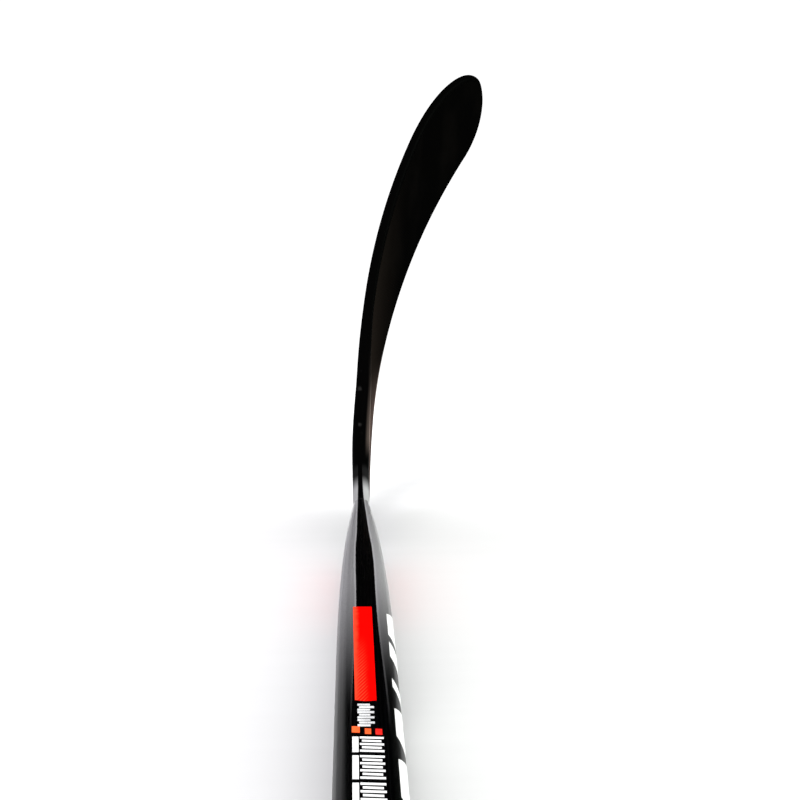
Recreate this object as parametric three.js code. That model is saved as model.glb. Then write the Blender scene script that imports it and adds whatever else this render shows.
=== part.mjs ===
// A left-handed ice hockey stick: a hollow carbon shaft, a foam-cored blade and the parts that join them.
// Millimetres. The shaft lies along Y on its rear narrow face, with the blade at +Y.
// +Z is the front of the shaft. The blade bends up towards +Z, and its toe sweeps towards +X.
import * as THREE from "three";

// Shaft.
const BUTT_TO_HEEL = 1524; // end of the plug's cap to the heel point, along the shaft
const SHAFT_WIDTH = 20; // narrow faces, along X
const SHAFT_DEPTH = 30; // wide faces, along Z
const SHAFT_CORNER = 4.5;
const SHAFT_WALL = 1.6;
const TAPER_LENGTH = 195; // from the full section down to the neck
const TAPER_POWER = 2.5; // the taper is slow at first and quickest at the neck

// Neck, where the tube ends and the blade's hosel begins.
const NECK_WIDTH = 7.8;
const NECK_DEPTH = 23;
const NECK_CORNER = 3;
const NECK_REAR = 5.5; // height of the neck's rear face over the shaft's rear face
const SOCKET_WALL = 1.8; // wall round the straight socket in the neck
const SOCKET_LENGTH = 62;
const SOCKET_FLARE = 45; // the socket opens to the full bore over this length

// Blade, in its own plane: u runs from the heel point to the toe, and w from the bottom edge up.
const BEND = THREE.MathUtils.degToRad(45); // the blade turns this far from the shaft's line
const HEEL = 80; // neck to heel point
const BLADE_LENGTH = 304;
const BLADE_HEIGHT = 61; // at the crotch
const TOE_HEIGHT = 64;
const TOE_MIDDLE = 32.5; // height of the toe's foremost point
const TOE_TOP_LENGTH = 86; // the top edge rounds down to the toe over this length
const TOE_BOTTOM_LENGTH = 38;
const HEEL_RADIUS = 26;
const CROTCH_RADIUS = 31;
const SWEEP = 95.6; // sideways reach of the toe
const SWEEP_START = -25; // the curve starts this far before the heel point
const SWEEP_POWER = 2.1;
const TOE_LOFT = THREE.MathUtils.degToRad(17); // how far the face opens at the toe
const LOFT_START = 38;
const LOFT_POWER = 0.9;
const LOFT_EASE = 0.03; // rounds off the start of the loft, as a share of its length

// Blade thickness and layers.
const HEEL_THICKNESS = 9; // the hosel swells from the neck to this thickness
const SWELL_START = -40; // where the neck ends, along u
const SWELL_LENGTH = 45;
const MIDDLE_THICKNESS = 6.2;
const TOE_THICKNESS = 4.6;
const THINNING_LENGTH = 95; // the hosel thins to the blade over this length from the heel point
const EDGE_RADIUS = 2;
const ROUNDING_CHANGE = 40; // the neck's corner becomes the edge radius over this length
const RAIL_DEPTH = 3.5;
const SKIN = 0.9;
const RIB_LOW = 0.46; // the rib's lower and upper edges, as a share of the panel's height
const RIB_HIGH = 0.54;

// Tongue of the blade inside the socket, and the adhesive round it.
const TONGUE_LENGTH = 60;
const TONGUE_STATIONS = 4; // its root fills the hosel as far as this station
const BOND = 0.3;
const BOND_CLEARANCE = 0.06;

// Butt plug.
const CAP = 5;
const CAP_BEVEL = 0.9;
const STEM_LENGTH = 55;
const STEM_WIDTH = 12.6;
const STEM_DEPTH = 22.6;
const RIBS = 4;
const RIB_LENGTH = 4;
const RIB_CLEARANCE = 0.15;

// Graphic films, measured back from the neck.
const FILM = 0.15;
const FILM_GAP = 0.06;
const FLASH = { from: 147.5, to: 224.5, left: -4.3, right: 2.5 };
const BARS = { from: 226, to: 330, left: -4.7, right: 4.1 };
const RIGHT_MARKS = { from: 150, to: 400, low: 6, wrap: THREE.MathUtils.degToRad(56) };
const LEFT_MARKS = { from: 215, to: 400, low: 6, wrap: 0 };
const BARE_FROM = 410; // the faces are bare from here to the butt

// Fineness and clearances.
const GAP = 0.15;
const STATIONS = 44;
const CORNER_STEPS = 4;
const TAPER_STEPS = 12;
const PANEL_STEPS = [0, 0.16, 0.32, RIB_LOW, RIB_HIGH, 0.68, 0.84, 1];

const TUBE_LENGTH = BUTT_TO_HEEL - HEEL - CAP;
const NECK_Y = TUBE_LENGTH / 2; // puts the origin at the middle of the tube

const finishes = {
  shaft: { color: 0x17181b, roughness: 0.28, metalness: 0.1 },
  blade: { color: 0x141312, roughness: 0.42, metalness: 0.05 },
  rail: { color: 0x1c1b1a, roughness: 0.5, metalness: 0 },
  foam: { color: 0xd8cfae, roughness: 0.95, metalness: 0 },
  rib: { color: 0x2a2a2c, roughness: 0.6, metalness: 0 },
  adhesive: { color: 0xc9b27a, roughness: 0.5, metalness: 0 },
  plug: { color: 0x111112, roughness: 0.75, metalness: 0 },
  red: { color: 0xf01a06, roughness: 0.3, metalness: 0 },
  white: { color: 0xececea, roughness: 0.3, metalness: 0 },
};

const stick = new THREE.Group();
stick.position.y = NECK_Y;

function clamp01(value) {
  return THREE.MathUtils.clamp(value, 0, 1);
}

function smooth(value) {
  return THREE.MathUtils.smoothstep(value, 0, 1);
}

// --- Meshes from rows of points ---

function volumeOf(triangles) {
  let sum = 0;
  for (const [a, b, c] of triangles) sum += a.dot(b.clone().cross(c));
  return sum / 6;
}

function addMesh(name, finish, triangles) {
  const outward = volumeOf(triangles) > 0;
  const points = triangles.flatMap(([a, b, c]) => (outward ? [a, b, c] : [a, c, b]));
  const geometry = new THREE.BufferGeometry().setFromPoints(points);
  geometry.computeVertexNormals();
  const mesh = new THREE.Mesh(geometry, new THREE.MeshStandardMaterial(finishes[finish]));
  mesh.name = name;
  stick.add(mesh);
}

function quad(a, b, c, d) {
  return [
    [a, b, c],
    [a, c, d],
  ];
}

// The wall between each ring and the next. Every ring has the same number of points.
function wall(rings) {
  const triangles = [];
  for (let i = 0; i + 1 < rings.length; i++) {
    const [near, far] = [rings[i], rings[i + 1]];
    near.forEach((point, k) => {
      const next = (k + 1) % near.length;
      triangles.push(...quad(point, near[next], far[next], far[k]));
    });
  }
  return triangles;
}

// A flat end over a ring whose first half and second half face each other.
function endCap(ring) {
  const triangles = [];
  for (let k = 0; k < ring.length / 2 - 1; k++) {
    const last = ring.length - 1;
    triangles.push(...quad(ring[k], ring[k + 1], ring[last - k - 1], ring[last - k]));
  }
  return triangles;
}

function turnedOver(triangles) {
  return triangles.map(([a, b, c]) => [a, c, b]);
}

function solid(rings) {
  return [...wall(rings), ...turnedOver(endCap(rings[0])), ...endCap(rings.at(-1))];
}

// --- Shaft ---

// Rounded rectangle in X and Z at one y, as points that run up one side and down the other.
function shaftRing(y, width, depth, corner, middle) {
  const ring = [];
  const corners = [
    [1, -1, -90],
    [1, 1, 0],
    [-1, 1, 90],
    [-1, -1, 180],
  ];
  for (const [sideX, sideZ, start] of corners) {
    for (let k = 0; k <= CORNER_STEPS; k++) {
      const angle = THREE.MathUtils.degToRad(start + (90 * k) / CORNER_STEPS);
      const x = sideX * (width / 2 - corner) + corner * Math.cos(angle);
      const z = middle + sideZ * (depth / 2 - corner) + corner * Math.sin(angle);
      ring.push(new THREE.Vector3(x, y, z));
    }
  }
  return ring;
}

// The tube's outer section at a distance back from the neck.
function outerSection(back) {
  const share = Math.pow(clamp01(1 - back / TAPER_LENGTH), TAPER_POWER);
  const depth = THREE.MathUtils.lerp(SHAFT_DEPTH, NECK_DEPTH, share);
  return {
    width: THREE.MathUtils.lerp(SHAFT_WIDTH, NECK_WIDTH, share),
    depth,
    corner: THREE.MathUtils.lerp(SHAFT_CORNER, NECK_CORNER, share),
    middle: NECK_REAR * share + depth / 2,
  };
}

function socketSection() {
  const neck = outerSection(0);
  return {
    width: neck.width - 2 * SOCKET_WALL,
    depth: neck.depth - 2 * SOCKET_WALL,
    corner: neck.corner - SOCKET_WALL,
    middle: neck.middle,
  };
}

// The tube's bore: a straight socket at the neck, which flares to the thin-walled bore.
function boreSection(back) {
  const socket = socketSection();
  const outer = outerSection(back);
  const share = smooth((back - SOCKET_LENGTH) / SOCKET_FLARE);
  return {
    width: THREE.MathUtils.lerp(socket.width, outer.width - 2 * SHAFT_WALL, share),
    depth: THREE.MathUtils.lerp(socket.depth, outer.depth - 2 * SHAFT_WALL, share),
    corner: THREE.MathUtils.lerp(socket.corner, outer.corner - SHAFT_WALL, share),
    middle: THREE.MathUtils.lerp(socket.middle, outer.middle, share),
  };
}

function ringFrom(back, section) {
  return shaftRing(-back, section.width, section.depth, section.corner, section.middle);
}

function shaftTube() {
  const backs = [TUBE_LENGTH, BARE_FROM];
  for (let k = TAPER_STEPS; k > 0; k--) backs.push((TAPER_LENGTH * k) / TAPER_STEPS);
  backs.push(SOCKET_LENGTH + SOCKET_FLARE, SOCKET_LENGTH, GAP);
  backs.sort((a, b) => b - a);
  const outside = backs.map((back) => ringFrom(back, outerSection(back)));
  const inside = backs.map((back) => ringFrom(back, boreSection(back)));
  const loop = [...outside, ...inside.reverse(), outside[0]];
  addMesh("shaft_tube", "shaft", wall(loop));
}

function endPlug() {
  const bore = boreSection(TUBE_LENGTH);
  const ribWidth = bore.width - 2 * RIB_CLEARANCE;
  const ribDepth = bore.depth - 2 * RIB_CLEARANCE;
  const ribCorner = bore.corner - RIB_CLEARANCE;
  const middle = SHAFT_DEPTH / 2;
  const face = -TUBE_LENGTH - GAP;
  const outer = face - CAP + GAP;
  const stem = (y) => shaftRing(y, STEM_WIDTH, STEM_DEPTH, ribCorner / 2, middle);
  const rib = (y) => shaftRing(y, ribWidth, ribDepth, ribCorner, middle);
  const bevelled = 2 * CAP_BEVEL;
  const small = [SHAFT_WIDTH - bevelled, SHAFT_DEPTH - bevelled, SHAFT_CORNER - CAP_BEVEL];
  const rings = [
    shaftRing(outer, ...small, middle),
    shaftRing(outer + CAP_BEVEL, SHAFT_WIDTH, SHAFT_DEPTH, SHAFT_CORNER, middle),
    shaftRing(face, SHAFT_WIDTH, SHAFT_DEPTH, SHAFT_CORNER, middle),
    stem(face),
  ];
  const pitch = STEM_LENGTH / RIBS;
  for (let k = 0; k < RIBS; k++) {
    const start = face + (k + 0.5) * pitch;
    rings.push(stem(start), rib(start), rib(start + RIB_LENGTH), stem(start + RIB_LENGTH));
  }
  rings.push(stem(face + STEM_LENGTH));
  addMesh("end_plug", "plug", solid(rings));
}

// --- Blade surfaces ---

const ALONG = new THREE.Vector2(Math.cos(BEND), -Math.sin(BEND)); // the shaft's line, towards the heel
const FRONT = new THREE.Vector2(Math.sin(BEND), Math.cos(BEND)); // the shaft's front, square to it

function neckPoint(front) {
  return ALONG.clone()
    .multiplyScalar(GAP - HEEL)
    .addScaledVector(FRONT, front);
}

// A path that runs straight from start and then turns by an arc, off the shaft's line.
function turningPath(start, centre, radius, turn) {
  const angle = -Math.PI / 2 - BEND;
  const path = new THREE.Path().moveTo(start.x, start.y);
  path.lineTo(centre.x + radius * Math.cos(angle), centre.y + radius * Math.sin(angle));
  return path.absarc(centre.x, centre.y, radius, angle, angle + turn, false);
}

function bottomPath() {
  const centre = new THREE.Vector2(HEEL_RADIUS * Math.tan(BEND / 2), HEEL_RADIUS);
  const path = turningPath(neckPoint(0), centre, HEEL_RADIUS, BEND);
  const toe = BLADE_LENGTH - TOE_BOTTOM_LENGTH;
  path.absellipse(toe, TOE_MIDDLE, TOE_BOTTOM_LENGTH, TOE_MIDDLE, -Math.PI / 2, 0, false, 0);
  return path;
}

function topPath() {
  const edgeEnd = new THREE.Vector2(BLADE_LENGTH - TOE_TOP_LENGTH, TOE_HEIGHT);
  const reach = (BLADE_HEIGHT - NECK_DEPTH * Math.cos(BEND)) / Math.sin(BEND);
  const crotch = FRONT.clone().multiplyScalar(NECK_DEPTH).addScaledVector(ALONG, -reach);
  const edge = edgeEnd.clone().sub(crotch).normalize();
  const turn = Math.acos(ALONG.dot(edge));
  const centre = crotch
    .clone()
    .addScaledVector(ALONG, -CROTCH_RADIUS * Math.tan(turn / 2))
    .addScaledVector(FRONT, CROTCH_RADIUS);
  const path = turningPath(neckPoint(NECK_DEPTH), centre, CROTCH_RADIUS, turn);
  path.absellipse(edgeEnd.x, TOE_MIDDLE, TOE_TOP_LENGTH, TOE_HEIGHT - TOE_MIDDLE, Math.PI / 2, 0, true, 0);
  return path;
}

const outline = { top: topPath(), bottom: bottomPath() };

function sweepAt(u) {
  const share = Math.max(0, (u - SWEEP_START) / (BLADE_LENGTH - SWEEP_START));
  return SWEEP * Math.pow(share, SWEEP_POWER);
}

function loftAt(u) {
  const share = (u - LOFT_START) / (BLADE_LENGTH - LOFT_START);
  const eased = (share + Math.hypot(share, LOFT_EASE)) / 2;
  return TOE_LOFT * Math.pow(eased, LOFT_POWER);
}

function thicknessAt(u) {
  const swell = smooth((u - SWELL_START) / SWELL_LENGTH);
  const hosel = THREE.MathUtils.lerp(NECK_WIDTH, HEEL_THICKNESS, swell);
  const blade = THREE.MathUtils.lerp(MIDDLE_THICKNESS, TOE_THICKNESS, clamp01(u / BLADE_LENGTH));
  return THREE.MathUtils.lerp(hosel, blade, smooth(u / THINNING_LENGTH));
}

// The point of the blade at (u, w), offset square to its middle surface towards the forehand side.
function bladePoint(u, w, offset) {
  const slope = (sweepAt(u + 1) - sweepAt(u - 1)) / 2;
  const square = 1 / Math.sqrt(1 + slope * slope);
  const x = sweepAt(u) - w * Math.tan(loftAt(u)) + offset * square;
  const along = u - offset * slope * square;
  const y = HEEL + along * Math.cos(BEND) - w * Math.sin(BEND);
  const z = NECK_REAR + along * Math.sin(BEND) + w * Math.cos(BEND);
  return new THREE.Vector3(x, y, z);
}

// Shares of the outline's length, closer together at the toe.
function stationShares() {
  const shares = [];
  for (let k = 0; k <= STATIONS; k++) {
    const even = k / STATIONS;
    const late = clamp01((even - 0.85) / 0.15);
    shares.push(even < 0.85 ? even : 0.85 + 0.15 * Math.sin((late * Math.PI) / 2));
  }
  return shares;
}

function edgePoint(side, share) {
  const path = outline[side];
  const point = path.getPointAt(share);
  const tangent = path.getTangentAt(share);
  const inward = new THREE.Vector2(-tangent.y, tangent.x);
  if (side === "top") inward.negate();
  return { point, inward };
}

function insetPoint(side, share, depth) {
  const { point, inward } = edgePoint(side, share);
  return point.clone().addScaledVector(inward, depth);
}

// --- Blade pieces ---

function railRing({ point, inward }) {
  const thickness = thicknessAt(point.x);
  const corner = THREE.MathUtils.lerp(NECK_CORNER, EDGE_RADIUS, smooth(point.x / ROUNDING_CHANGE));
  const half = thickness / 2;
  const section = [[RAIL_DEPTH, half]];
  for (let k = 0; k <= CORNER_STEPS; k++) {
    const angle = (Math.PI / 2) * (k / CORNER_STEPS);
    section.push([corner - corner * Math.sin(angle), half - corner + corner * Math.cos(angle)]);
  }
  const otherSide = section.map(([depth, offset]) => [depth, -offset]).reverse();
  return [...section, ...otherSide].map(([depth, offset]) => {
    const at = point.clone().addScaledVector(inward, depth);
    return bladePoint(at.x, at.y, offset);
  });
}

function edgeRail() {
  const shares = stationShares();
  const top = shares.map((share) => railRing(edgePoint("top", share)));
  const bottom = shares.slice(0, -1).map((share) => railRing(edgePoint("bottom", share)));
  addMesh("edge_rail", "rail", solid([...top, ...bottom.reverse()]));
}

// One ring across the panel inside the rail, over the given shares of its height and between two offsets.
function panelRing(share, heights, offsets) {
  const depth = RAIL_DEPTH + GAP;
  const low = insetPoint("bottom", share, depth);
  const high = insetPoint("top", share, depth);
  const place = (height, side) => {
    const at = low.clone().lerp(high, height);
    return bladePoint(at.x, at.y, offsets(thicknessAt(at.x) / 2)[side]);
  };
  const up = heights.map((height) => place(height, 0));
  const down = heights.map((height) => place(height, 1)).reverse();
  return [...up, ...down];
}

function panel(name, finish, shares, heights, offsets) {
  addMesh(name, finish, solid(shares.map((share) => panelRing(share, heights, offsets))));
}

function bladePanels() {
  const shares = stationShares().slice(0, -1);
  const coreStart = shares[TONGUE_STATIONS] + 0.002;
  const coreShares = [coreStart, ...shares.slice(TONGUE_STATIONS + 1)];
  const inner = (half) => [half - SKIN - GAP, GAP + SKIN - half];
  const lower = PANEL_STEPS.filter((height) => height <= RIB_LOW);
  const upper = PANEL_STEPS.filter((height) => height >= RIB_HIGH);
  const ribGap = 0.006;
  panel("forehand_skin", "blade", shares, PANEL_STEPS, (half) => [half, half - SKIN]);
  panel("backhand_skin", "blade", shares, PANEL_STEPS, (half) => [-half, SKIN - half]);
  panel("lower_core", "foam", coreShares, lower, inner);
  panel("upper_core", "foam", coreShares, upper, inner);
  panel("blade_rib", "rib", coreShares, [RIB_LOW + ribGap, RIB_HIGH - ribGap], inner);
}

// The tongue fills the socket, steps down at the neck and fills the hosel between the skins.
function tongueSection() {
  const socket = socketSection();
  const less = BOND + 2 * BOND_CLEARANCE;
  return {
    ...socket,
    width: socket.width - 2 * less,
    depth: socket.depth - 2 * less,
    corner: socket.corner - less,
  };
}

function hoselTenon() {
  const section = tongueSection();
  const hosel = outerSection(0).depth - 2 * (RAIL_DEPTH + GAP);
  const shoulder = { ...section, depth: hosel };
  const rings = [ringFrom(TONGUE_LENGTH, section), ringFrom(1.5, section), ringFrom(0, shoulder)];
  const inner = (half) => [half - SKIN - GAP, GAP + SKIN - half];
  const heights = [];
  for (let k = 0; k < 2 * (CORNER_STEPS + 1); k++) heights.push(k / (2 * CORNER_STEPS + 1));
  for (const share of stationShares().slice(0, TONGUE_STATIONS + 1)) {
    rings.push(panelRing(share, heights, inner));
  }
  addMesh("hosel_tenon", "rib", solid(rings));
}

function tenonBond() {
  const socket = socketSection();
  const shrunk = (by) => ({
    ...socket,
    width: socket.width - 2 * by,
    depth: socket.depth - 2 * by,
    corner: socket.corner - by,
  });
  const outer = shrunk(BOND_CLEARANCE);
  const inner = shrunk(BOND_CLEARANCE + BOND);
  const [start, end] = [TONGUE_LENGTH - 1, 2];
  const loop = [ringFrom(start, outer), ringFrom(end, outer), ringFrom(end, inner), ringFrom(start, inner)];
  addMesh("tenon_bond", "adhesive", wall([...loop, loop[0]]));
}

// --- Films ---

// A film on the front face, between two distances back from the neck.
function frontFilm(name, finish, { from, to, left, right }) {
  const low = SHAFT_DEPTH + FILM_GAP;
  const ring = (back) => [
    new THREE.Vector3(left, -back, low),
    new THREE.Vector3(right, -back, low),
    new THREE.Vector3(right, -back, low + FILM),
    new THREE.Vector3(left, -back, low + FILM),
  ];
  addMesh(name, finish, solid([ring(from), ring(to)]));
}

// A film on a wide face, which may wrap some way over the front corner. side is 1 for +X and -1 for -X.
function sideFilm(name, side, { from, to, low, wrap }) {
  const steps = Math.ceil(wrap / (Math.PI / 2 / CORNER_STEPS));
  const centreX = SHAFT_WIDTH / 2 - SHAFT_CORNER;
  const centreZ = SHAFT_DEPTH - SHAFT_CORNER;
  const edge = (back, out) => {
    const radius = SHAFT_CORNER + out;
    const points = [new THREE.Vector3(side * (centreX + radius), -back, low)];
    for (let k = 0; k <= steps; k++) {
      const angle = Math.min(wrap, (k * Math.PI) / 2 / CORNER_STEPS);
      const x = side * (centreX + radius * Math.cos(angle));
      points.push(new THREE.Vector3(x, -back, centreZ + radius * Math.sin(angle)));
    }
    return points;
  };
  const ring = (back) => [...edge(back, FILM_GAP), ...edge(back, FILM_GAP + FILM).reverse()];
  addMesh(name, "white", solid([ring(from), ring(to)]));
}

shaftTube();
endPlug();
edgeRail();
bladePanels();
hoselTenon();
tenonBond();
frontFilm("front_flash_film", "red", FLASH);
frontFilm("front_bar_film", "white", BARS);
sideFilm("right_mark_film", 1, RIGHT_MARKS);
sideFilm("left_mark_film", -1, LEFT_MARKS);

export default stick;
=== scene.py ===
"""A left-handed ice hockey stick lying on a white floor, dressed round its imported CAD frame.

Metres. The shaft lies along Y on its rear face, its front face is up (+Z), and the blade is at +Y.
"""

import math

import bmesh
import bpy
import numpy as np
from mathutils import Matrix, Vector


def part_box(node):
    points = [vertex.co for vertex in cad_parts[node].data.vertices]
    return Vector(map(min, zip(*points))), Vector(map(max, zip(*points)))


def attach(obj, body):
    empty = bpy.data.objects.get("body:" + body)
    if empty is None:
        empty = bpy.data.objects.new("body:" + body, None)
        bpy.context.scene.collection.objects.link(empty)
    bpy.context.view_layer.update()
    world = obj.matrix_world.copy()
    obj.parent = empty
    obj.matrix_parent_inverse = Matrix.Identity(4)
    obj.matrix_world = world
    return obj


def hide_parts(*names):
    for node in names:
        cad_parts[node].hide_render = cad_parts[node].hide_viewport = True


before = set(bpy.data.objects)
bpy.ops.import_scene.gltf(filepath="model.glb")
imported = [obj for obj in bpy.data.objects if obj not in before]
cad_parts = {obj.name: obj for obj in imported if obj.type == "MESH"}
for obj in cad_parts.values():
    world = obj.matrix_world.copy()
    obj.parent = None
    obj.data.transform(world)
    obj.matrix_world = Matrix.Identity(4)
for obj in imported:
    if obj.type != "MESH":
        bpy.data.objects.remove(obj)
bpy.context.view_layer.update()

MM = 0.001

# Shaft, read from the frame.
tube_low, tube_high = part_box("shaft_tube")
plug_low, plug_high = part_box("end_plug")
GAP = 0.15 * MM
SHAFT_WIDTH = tube_high.x - tube_low.x
SHAFT_DEPTH = tube_high.z - tube_low.z
BUTT_Y = tube_low.y
NECK_Y = tube_high.y + GAP
TUBE_LENGTH = NECK_Y - BUTT_Y

# Shaft and neck sections, as the CAD part has them.
SHAFT_CORNER = 4.5 * MM
SHAFT_WALL = 1.6 * MM
TAPER_LENGTH = 195 * MM
TAPER_POWER = 2.5
NECK_WIDTH = 7.8 * MM
NECK_DEPTH = 23 * MM
NECK_CORNER = 3 * MM
NECK_REAR = 5.5 * MM
SOCKET_WALL = 1.8 * MM
SOCKET_LENGTH = 62 * MM
SOCKET_FLARE = 45 * MM
NECK_EASE = 7 * MM  # the taper's end is rounded off over this much each way

# Blade, in its own plane: u from the heel point to the toe, w from the bottom edge up.
BEND = math.radians(45)
HEEL = 80 * MM
BLADE_LENGTH = 304 * MM
BLADE_HEIGHT = 61 * MM
TOE_HEIGHT = 64 * MM
TOE_MIDDLE = 32.5 * MM
TOE_TOP_LENGTH = 86 * MM
TOE_BOTTOM_LENGTH = 38 * MM
HEEL_RADIUS = 26 * MM
CROTCH_RADIUS = 31 * MM
SWEEP = 95.6 * MM
SWEEP_START = -25 * MM
SWEEP_POWER = 2.1
TOE_LOFT = math.radians(17)
LOFT_START = 38 * MM
LOFT_POWER = 0.9
LOFT_EASE = 0.03
HEEL_THICKNESS = 9 * MM
SWELL_START = -40 * MM
SWELL_LENGTH = 45 * MM
MIDDLE_THICKNESS = 6.2 * MM
TOE_THICKNESS = 4.6 * MM
THINNING_LENGTH = 95 * MM
EDGE_RADIUS = 2 * MM
ROUNDING_CHANGE = 40 * MM
RAIL_DEPTH = 3.5 * MM
SKIN = 0.9 * MM

# Fineness.
PATH_STEPS = 400
STATIONS = 150
PANEL_STEPS = 20
CORNER_STEPS = 9
TAPER_STEPS = 44
FLARE_STEPS = 8
EASE_STEPS = 9
BEVEL_STEPS = 5
CLOSER_FROM = 0.85  # stations lie closer together over the rest of the outline
SHARP = math.radians(38)
WELD = 0.002 * MM
LEAST_CORNER = 0.2 * MM

# Prints: how thick they are, and how far they stand off the paint.
PRINT = 0.09 * MM
LIFT = 0.03 * MM
SLASH_LEAN = 1.9  # how far the side prints run back for each millimetre down a wide face

# The black spear on the front face: (distance back from the neck, half width) in millimetres.
SPEAR = ((-32, 0.9), (0, 1.5), (27, 2.1), (50, 2.55), (90, 3.6), (150, 3.7), (225, 5.2), (268, 5.6))

# Pitch of the woven tows.
SHAFT_TOW = 2.6 * MM
BLADE_TOW = 3.4 * MM

# Camera, from the neck's end on the floor. Angles in degrees.
CAMERA_LENS = 52.9
CAMERA_PLACE = Vector((-2.2, -550.9, 184.2)) * MM
CAMERA_YAW, CAMERA_PITCH, CAMERA_ROLL = 2.23, 10.97, -0.58

# Floor sheet: its corners in X and Y, the width of its faded edge, and its drop below the stick.
FLOOR_LOW = (-0.7, -1.3)
FLOOR_HIGH = (0.7, 1.25)
FLOOR_FADE = 0.2
FLOOR_DROP = 0.05 * MM


def clamp01(value):
    return np.clip(value, 0, 1)


def smooth(value):
    value = clamp01(value)
    return value * value * (3 - 2 * value)


def lerp(a, b, share):
    return a + (b - a) * share


# --- Meshes ---


def make_piece(name, points, faces, materials, body, face_materials=None, replaces=()):
    """One closed, smooth-shaded mesh that rides on a body."""
    mesh = bpy.data.meshes.new(name)
    mesh.from_pydata([tuple(p) for p in points], [], faces)
    for material in materials:
        mesh.materials.append(material)
    if face_materials is not None:
        mesh.polygons.foreach_set("material_index", face_materials)
    work = bmesh.new()
    work.from_mesh(mesh)
    bmesh.ops.remove_doubles(work, verts=work.verts, dist=WELD)
    bmesh.ops.recalc_face_normals(work, faces=work.faces)
    work.to_mesh(mesh)
    work.free()
    mesh.shade_smooth()
    mesh.set_sharp_from_angle(angle=SHARP)
    piece = bpy.data.objects.new(name, mesh)
    bpy.context.scene.collection.objects.link(piece)
    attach(piece, body)
    if replaces:
        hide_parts(*replaces)


def ring_faces(rings, size):
    """Quads between each ring of points and the next, rings lying one after another."""
    faces = []
    for i in range(rings - 1):
        for k in range(size):
            here = i * size
            after = (k + 1) % size
            faces.append((here + k, here + after, here + size + after, here + size + k))
    return faces


def loft(rings):
    """A closed solid through rings of equal size, with a flat face at each end."""
    size = len(rings[0])
    faces = ring_faces(len(rings), size)
    last = (len(rings) - 1) * size
    faces.append(tuple(range(size)))
    faces.append(tuple(range(last, last + size)))
    return np.concatenate(rings), faces


def slab(outer, inner):
    """A closed sheet between two grids of points, outer and inner."""
    rows, columns = outer.shape[:2]
    total = rows * columns
    faces = []

    def at(i, j, layer):
        return layer * total + i * columns + j

    for i in range(rows - 1):
        for j in range(columns - 1):
            for layer in (0, 1):
                corners = ((i, j), (i, j + 1), (i + 1, j + 1), (i + 1, j))
                faces.append(tuple(at(a, b, layer) for a, b in corners))
    for i in range(rows - 1):
        for j in (0, columns - 1):
            faces.append((at(i, j, 0), at(i + 1, j, 0), at(i + 1, j, 1), at(i, j, 1)))
    for j in range(columns - 1):
        for i in (0, rows - 1):
            faces.append((at(i, j, 0), at(i, j + 1, 0), at(i, j + 1, 1), at(i, j, 1)))
    return np.concatenate([outer.reshape(-1, 3), inner.reshape(-1, 3)]), faces


# --- Shaft sections ---


def taper_share(back):
    return clamp01(1 - back / TAPER_LENGTH) ** TAPER_POWER


def eased_share(back):
    """The taper with its end at the neck rounded off."""
    steps = np.linspace(-NECK_EASE, NECK_EASE, EASE_STEPS)
    return sum(taper_share(back + step) for step in steps) / len(steps)


def outer_section(back):
    """(width, depth, corner, middle height) of the tube at a distance back from the neck."""
    share = taper_share(back)
    width = lerp(SHAFT_WIDTH, NECK_WIDTH, eased_share(back))
    depth = lerp(SHAFT_DEPTH, NECK_DEPTH, share)
    corner = lerp(SHAFT_CORNER, NECK_CORNER, share)
    return width, depth, corner, NECK_REAR * share + depth / 2


def bore_section(back):
    share = smooth((back - SOCKET_LENGTH) / SOCKET_FLARE)
    neck = outer_section(0)
    socket = (
        NECK_WIDTH - 2 * SOCKET_WALL,
        neck[1] - 2 * SOCKET_WALL,
        neck[2] - SOCKET_WALL,
        neck[3],
    )
    width, depth, corner, middle = outer_section(back)
    bore = (width - 2 * SHAFT_WALL, depth - 2 * SHAFT_WALL, corner - SHAFT_WALL, middle)
    return tuple(lerp(a, b, share) for a, b in zip(socket, bore))


def section_ring(y, section, inset=0):
    """A rounded rectangle in X and Z, with support points beside its corners on the flats."""
    width, depth, corner, middle = section
    width, depth = width - 2 * inset, depth - 2 * inset
    corner = max(corner - inset, LEAST_CORNER)
    arc_step = math.radians(90) / CORNER_STEPS * corner
    support = arc_step / 2
    points = []
    for side_x, side_z, start in ((1, -1, -90), (1, 1, 0), (-1, 1, 90), (-1, -1, 180)):
        centre = (side_x * (width / 2 - corner), middle + side_z * (depth / 2 - corner))
        angles = [math.radians(start + 90 * k / CORNER_STEPS) for k in range(CORNER_STEPS + 1)]
        arc = [(centre[0] + corner * math.cos(a), centre[1] + corner * math.sin(a)) for a in angles]
        first, last = angles[0], angles[-1]
        before = (arc[0][0] + support * math.sin(first), arc[0][1] - support * math.cos(first))
        after = (arc[-1][0] - support * math.sin(last), arc[-1][1] + support * math.cos(last))
        points += [before, *arc, after]
    return np.array([(x, y, z) for x, z in points])


# --- Blade surfaces ---

ALONG = np.array([math.cos(BEND), -math.sin(BEND)])
FRONT = np.array([math.sin(BEND), math.cos(BEND)])


def ellipse(centre, radii, start, end):
    angle = np.linspace(start, end, PATH_STEPS)
    return np.stack([centre[0] + radii[0] * np.cos(angle), centre[1] + radii[1] * np.sin(angle)], 1)


def turning_path(start, centre, radius, turn):
    """From a start on the hosel, and round an arc into the blade's line."""
    angle = -math.pi / 2 - BEND
    return [start[None], ellipse(centre, (radius, radius), angle, angle + turn)]


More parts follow.
